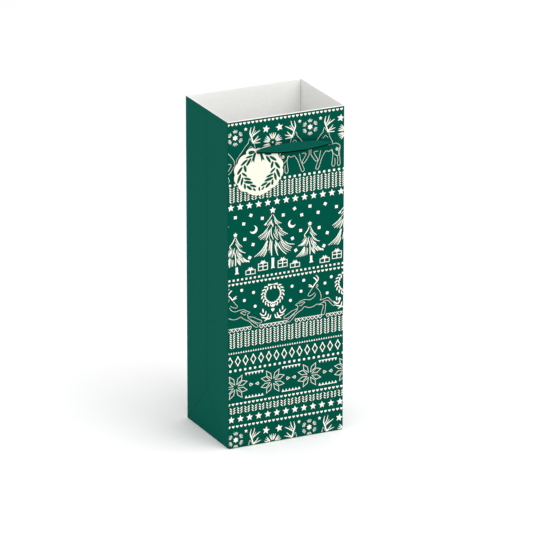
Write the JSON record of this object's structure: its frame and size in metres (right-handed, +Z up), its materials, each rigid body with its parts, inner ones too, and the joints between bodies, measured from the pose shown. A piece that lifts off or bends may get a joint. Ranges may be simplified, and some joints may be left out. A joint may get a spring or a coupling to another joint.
{
  "type": "wine gift bag",
  "caption": "Tall folded paper bottle bag with side gussets, turned-in top, ribbon handles, base board and a wreath-shaped gift tag; folds flat.",
  "frame": {"origin": "middle of the base, on the surface it stands on", "axes": "+Z up, -Y towards the printed front that carries the tag, +X to the right seen from the front"},
  "size_m": [0.13, 0.1058, 0.35],
  "materials": {
    "printed_paper": "coated paper, matt laminated, printed with pale knit-style bands on green",
    "green_paper": "coated paper, matt laminated, plain green outside, white inside",
    "white_paper": "uncoated white inside face of the paper",
    "grey_board": "plain board",
    "ribbon": "woven satin ribbon",
    "t_bar": "moulded, satin",
    "tag_card": "cream card, printed in green"
  },
  "bodies": {
    "base": {"bottom_flap_front": "green_paper", "bottom_flap_rear": "green_paper", "bottom_tuck_left": "green_paper", "bottom_tuck_right": "green_paper"},
    "board": {"bottom_board": "grey_board"},
    "back_strip": {"back_lower_strip": "printed_paper"},
    "back": {"back_panel": "printed_paper", "back_reinforcing_card": "grey_board", "back_top_hem": "white_paper", "side_seam_flap": "green_paper", "back_ribbon_end_left": "ribbon", "back_ribbon_end_right": "ribbon", "back_t_bar_left": "t_bar", "back_t_bar_right": "t_bar"},
    "back_handle": {"back_handle_ribbon": "ribbon"},
    "left_rear_gusset": {"left_gusset_rear": "green_paper", "left_gusset_rear_hem": "white_paper"},
    "left_front_gusset": {"left_gusset_front": "green_paper", "left_gusset_front_hem": "white_paper"},
    "right_rear_gusset": {"right_gusset_rear": "green_paper", "right_gusset_rear_hem": "white_paper"},
    "right_front_gusset": {"right_gusset_front": "green_paper", "right_gusset_front_hem": "white_paper"},
    "front": {"front_panel": "printed_paper", "front_reinforcing_card": "grey_board", "front_top_hem": "white_paper", "front_ribbon_end_left": "ribbon", "front_ribbon_end_right": "ribbon", "front_t_bar_left": "t_bar", "front_t_bar_right": "t_bar"},
    "front_handle": {"front_handle_ribbon": "ribbon"},
    "tag": {"gift_tag": "tag_card"},
    "left_triangle": {"left_bottom_triangle": "green_paper"},
    "right_triangle": {"right_bottom_triangle": "green_paper"},
    "left_tuck": {"left_corner_tuck": "green_paper"},
    "right_tuck": {"right_corner_tuck": "green_paper"}
  },
  "joints": [
    {"name": "fold_flat", "type": "hinge", "parent": "base", "child": "back_strip", "pos_m": [0, 0.0497, 0.0026], "axis": [1, 0, 0], "range_deg": [0, 90]},
    {"name": "back_level_crease", "type": "hinge", "parent": "back_strip", "child": "back", "pos_m": [0, 0.0501, 0.05], "axis": [-1, 0, 0], "range_deg": [0, 180]},
    {"name": "left_rear_corner_fold", "type": "hinge", "parent": "back", "child": "left_rear_gusset", "pos_m": [-0.0647, 0.0473, 0.175], "axis": [0, 0, 1], "range_deg": [0, 90]},
    {"name": "left_centre_crease", "type": "hinge", "parent": "left_rear_gusset", "child": "left_front_gusset", "pos_m": [-0.0651, 0, 0.175], "axis": [0, 0, -1], "range_deg": [0, 180]},
    {"name": "left_front_corner_fold", "type": "hinge", "parent": "left_front_gusset", "child": "front", "pos_m": [-0.0647, -0.0473, 0.175], "axis": [0, 0, 1], "range_deg": [0, 90]},
    {"name": "right_rear_corner_fold", "type": "hinge", "parent": "back", "child": "right_rear_gusset", "pos_m": [0.0647, 0.0473, 0.175], "axis": [0, 0, -1], "range_deg": [0, 90]},
    {"name": "right_centre_crease", "type": "hinge", "parent": "right_rear_gusset", "child": "right_front_gusset", "pos_m": [0.0651, 0, 0.175], "axis": [0, 0, 1], "range_deg": [0, 180]},
    {"name": "left_triangle_fold", "type": "hinge", "parent": "base", "child": "left_triangle", "pos_m": [-0.0647, 0, 0.0018], "axis": [0, 1, 0], "range_deg": [0, 90]},
    {"name": "right_triangle_fold", "type": "hinge", "parent": "base", "child": "right_triangle", "pos_m": [0.0647, 0, 0.0018], "axis": [0, -1, 0], "range_deg": [0, 90]},
    {"name": "left_tuck_fold", "type": "hinge", "parent": "back_strip", "child": "left_tuck", "pos_m": [-0.0647, 0.0496, 0.025], "axis": [0, 0, 1], "range_deg": [0, 90], "deforming": ["left_corner_tuck"]},
    {"name": "right_tuck_fold", "type": "hinge", "parent": "back_strip", "child": "right_tuck", "pos_m": [0.0647, 0.0496, 0.025], "axis": [0, 0, -1], "range_deg": [0, 90], "deforming": ["right_corner_tuck"]},
    {"name": "front_handle_swing", "type": "hinge", "parent": "front", "child": "front_handle", "pos_m": [-0.032, -0.0538, 0.315], "axis": [-0.9993, 0, 0.0372], "range_deg": [0, 175]},
    {"name": "back_handle_swing", "type": "hinge", "parent": "back", "child": "back_handle", "pos_m": [0, 0.0516, 0.312], "axis": [1, 0, 0], "range_deg": [0, 175]},
    {"name": "tag_swing", "type": "hinge", "parent": "front", "child": "tag", "pos_m": [-0.032, -0.05205, 0.315], "axis": [0, 1, 0], "range_deg": [-85, 85]},
    {"name": "board_lift", "type": "slide", "parent": "base", "child": "board", "axis": [0, 0, 1], "range_m": [0, 0.355]}
  ],
  "couplings": [
    {"joint": "back_level_crease", "follows": "fold_flat", "ratio": 2},
    {"joint": "left_rear_corner_fold", "follows": "fold_flat", "ratio": 1},
    {"joint": "left_centre_crease", "follows": "fold_flat", "ratio": 2},
    {"joint": "left_front_corner_fold", "follows": "fold_flat", "ratio": 1},
    {"joint": "right_rear_corner_fold", "follows": "fold_flat", "ratio": 1},
    {"joint": "right_centre_crease", "follows": "fold_flat", "ratio": 2},
    {"joint": "left_triangle_fold", "follows": "fold_flat", "ratio": 1},
    {"joint": "right_triangle_fold", "follows": "fold_flat", "ratio": 1},
    {"joint": "left_tuck_fold", "follows": "fold_flat", "ratio": 1},
    {"joint": "right_tuck_fold", "follows": "fold_flat", "ratio": 1}
  ]
}
